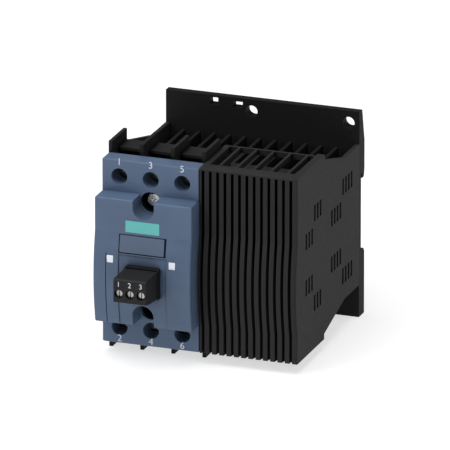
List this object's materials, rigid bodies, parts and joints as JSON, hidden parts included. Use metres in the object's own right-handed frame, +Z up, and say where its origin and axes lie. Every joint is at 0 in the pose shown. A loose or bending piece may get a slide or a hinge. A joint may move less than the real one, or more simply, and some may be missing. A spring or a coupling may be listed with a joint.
{
  "type": "solid state relay",
  "caption": "Three-phase solid state relay: blue-grey front, black ribbed heat sink cover, pull-off control plug, rail recess and latch at the back.",
  "frame": {"origin": "on the rear mounting plane, at the centre line of the rail recess, half way across the unit", "axes": "+Z up, +X to the right seen from the front, the front faces -Y"},
  "size_m": [0.09, 0.115, 0.095],
  "materials": {
    "cover_blue": "fine matt moulded plastic, blue-grey",
    "label_blue": "matt plastic, a touch lighter than the cover",
    "light_guide": "milky light guide, nearly white",
    "black_plastic": "black moulded plastic",
    "plug_black": "black moulded plastic",
    "cover_black": "black moulded plastic, fine grain",
    "plate_black": "matt black",
    "latch_black": "black moulded plastic",
    "black_anodised": "black anodised extruded aluminium",
    "base_copper": "nickel-flashed copper plate",
    "pad_grey": "soft grey thermal pad",
    "ceramic": "white ceramic",
    "silicon": "dark silicon",
    "plated_pin": "tin-plated brass",
    "tinned_copper": "tin-plated copper",
    "bright_screw": "bright nickel-plated steel",
    "zinc_screw": "zinc-plated steel",
    "zinc_clamp": "zinc-plated steel",
    "spring_steel": "spring steel wire",
    "board_green": "green solder mask",
    "led_lens": "clear lens",
    "chip_black": "black moulded chip package",
    "capacitor_can": "aluminium can"
  },
  "bodies": {
    "root": {"front_cover": "cover_blue", "label_plate": "label_blue", "light_guides": "light_guide", "module_housing": "black_plastic", "module_baseplate": "base_copper", "thermal_pad": "pad_grey", "ceramic_substrate": "ceramic", "thyristor_chips": "silicon", "gate_leads": "plated_pin", "line_busbars": "tinned_copper", "load_busbars": "tinned_copper", "fixing_screws": "bright_screw", "fixing_washers": "bright_screw", "control_board": "board_green", "board_screws": "bright_screw", "status_leds": "led_lens", "optocouplers": "chip_black", "control_chip": "chip_black", "board_capacitors": "capacitor_can", "board_resistors": "ceramic", "control_header": "black_plastic", "header_pins": "plated_pin", "heat_sink": "black_anodised", "heat_sink_cover": "cover_black", "side_panel": "cover_black", "mounting_plate": "plate_black", "plate_screws": "zinc_screw", "latch_spring": "spring_steel"},
    "line_clamp_1": {"line_clamp_1": "zinc_clamp"},
    "line_screw_1": {"line_screw_1": "zinc_screw"},
    "line_clamp_2": {"line_clamp_2": "zinc_clamp"},
    "line_screw_2": {"line_screw_2": "zinc_screw"},
    "line_clamp_3": {"line_clamp_3": "zinc_clamp"},
    "line_screw_3": {"line_screw_3": "zinc_screw"},
    "load_clamp_1": {"load_clamp_1": "zinc_clamp"},
    "load_screw_1": {"load_screw_1": "zinc_screw"},
    "load_clamp_2": {"load_clamp_2": "zinc_clamp"},
    "load_screw_2": {"load_screw_2": "zinc_screw"},
    "load_clamp_3": {"load_clamp_3": "zinc_clamp"},
    "load_screw_3": {"load_screw_3": "zinc_screw"},
    "control_plug": {"control_plug": "plug_black", "plug_contacts": "tinned_copper"},
    "plug_clamp_1": {"plug_clamp_1": "zinc_clamp"},
    "plug_screw_1": {"plug_screw_1": "bright_screw"},
    "plug_clamp_2": {"plug_clamp_2": "zinc_clamp"},
    "plug_screw_2": {"plug_screw_2": "bright_screw"},
    "plug_clamp_3": {"plug_clamp_3": "zinc_clamp"},
    "plug_screw_3": {"plug_screw_3": "bright_screw"},
    "rail_latch": {"rail_latch": "latch_black"}
  },
  "joints": [
    {"name": "line_clamp_1_slide", "type": "slide", "parent": "root", "child": "line_clamp_1", "axis": [0, 1, 0], "range_m": [0, 0.004]},
    {"name": "line_screw_1_turn", "type": "hinge", "parent": "line_clamp_1", "child": "line_screw_1", "pos_m": [-0.037, -0.0766, 0.0337], "axis": [0, 1, 0], "range_deg": [0, 2057.24]},
    {"name": "line_clamp_2_slide", "type": "slide", "parent": "root", "child": "line_clamp_2", "axis": [0, 1, 0], "range_m": [0, 0.004]},
    {"name": "line_screw_2_turn", "type": "hinge", "parent": "line_clamp_2", "child": "line_screw_2", "pos_m": [-0.0225, -0.0766, 0.0337], "axis": [0, 1, 0], "range_deg": [0, 2057.24]},
    {"name": "line_clamp_3_slide", "type": "slide", "parent": "root", "child": "line_clamp_3", "axis": [0, 1, 0], "range_m": [0, 0.004]},
    {"name": "line_screw_3_turn", "type": "hinge", "parent": "line_clamp_3", "child": "line_screw_3", "pos_m": [-0.008, -0.0766, 0.0337], "axis": [0, 1, 0], "range_deg": [0, 2057.24]},
    {"name": "load_clamp_1_slide", "type": "slide", "parent": "root", "child": "load_clamp_1", "axis": [0, 1, 0], "range_m": [0, 0.004]},
    {"name": "load_screw_1_turn", "type": "hinge", "parent": "load_clamp_1", "child": "load_screw_1", "pos_m": [-0.037, -0.0766, -0.0356], "axis": [0, 1, 0], "range_deg": [0, 2057.24]},
    {"name": "load_clamp_2_slide", "type": "slide", "parent": "root", "child": "load_clamp_2", "axis": [0, 1, 0], "range_m": [0, 0.004]},
    {"name": "load_screw_2_turn", "type": "hinge", "parent": "load_clamp_2", "child": "load_screw_2", "pos_m": [-0.0225, -0.0766, -0.0356], "axis": [0, 1, 0], "range_deg": [0, 2057.24]},
    {"name": "load_clamp_3_slide", "type": "slide", "parent": "root", "child": "load_clamp_3", "axis": [0, 1, 0], "range_m": [0, 0.004]},
    {"name": "load_screw_3_turn", "type": "hinge", "parent": "load_clamp_3", "child": "load_screw_3", "pos_m": [-0.008, -0.0766, -0.0356], "axis": [0, 1, 0], "range_deg": [0, 2057.24]},
    {"name": "control_plug_pull", "type": "slide", "parent": "root", "child": "control_plug", "axis": [0, -1, 0], "range_m": [0, 0.012]},
    {"name": "plug_clamp_1_slide", "type": "slide", "parent": "control_plug", "child": "plug_clamp_1", "axis": [0, 1, 0], "range_m": [0, 0.0028]},
    {"name": "plug_screw_1_turn", "type": "hinge", "parent": "plug_clamp_1", "child": "plug_screw_1", "pos_m": [-0.02718, -0.1136, -0.0099], "axis": [0, 1, 0], "range_deg": [0, 2016.1]},
    {"name": "plug_clamp_2_slide", "type": "slide", "parent": "control_plug", "child": "plug_clamp_2", "axis": [0, 1, 0], "range_m": [0, 0.0028]},
    {"name": "plug_screw_2_turn", "type": "hinge", "parent": "plug_clamp_2", "child": "plug_screw_2", "pos_m": [-0.0221, -0.1136, -0.0099], "axis": [0, 1, 0], "range_deg": [0, 2016.1]},
    {"name": "plug_clamp_3_slide", "type": "slide", "parent": "control_plug", "child": "plug_clamp_3", "axis": [0, 1, 0], "range_m": [0, 0.0028]},
    {"name": "plug_screw_3_turn", "type": "hinge", "parent": "plug_clamp_3", "child": "plug_screw_3", "pos_m": [-0.01702, -0.1136, -0.0099], "axis": [0, 1, 0], "range_deg": [0, 2016.1]},
    {"name": "rail_latch_slide", "type": "slide", "parent": "root", "child": "rail_latch", "axis": [0, 0, -1], "range_m": [0, 0.003], "stiffness_N_per_m": 800, "springref_m": -0.002, "deforming": ["latch_spring"]}
  ],
  "couplings": [
    {"joint": "line_screw_1_turn", "follows": "line_clamp_1_slide", "rad_per_m": 8976},
    {"joint": "line_screw_2_turn", "follows": "line_clamp_2_slide", "rad_per_m": 8976},
    {"joint": "line_screw_3_turn", "follows": "line_clamp_3_slide", "rad_per_m": 8976},
    {"joint": "load_screw_1_turn", "follows": "load_clamp_1_slide", "rad_per_m": 8976},
    {"joint": "load_screw_2_turn", "follows": "load_clamp_2_slide", "rad_per_m": 8976},
    {"joint": "load_screw_3_turn", "follows": "load_clamp_3_slide", "rad_per_m": 8976},
    {"joint": "plug_screw_1_turn", "follows": "plug_clamp_1_slide", "rad_per_m": 12566},
    {"joint": "plug_screw_2_turn", "follows": "plug_clamp_2_slide", "rad_per_m": 12566},
    {"joint": "plug_screw_3_turn", "follows": "plug_clamp_3_slide", "rad_per_m": 12566}
  ]
}
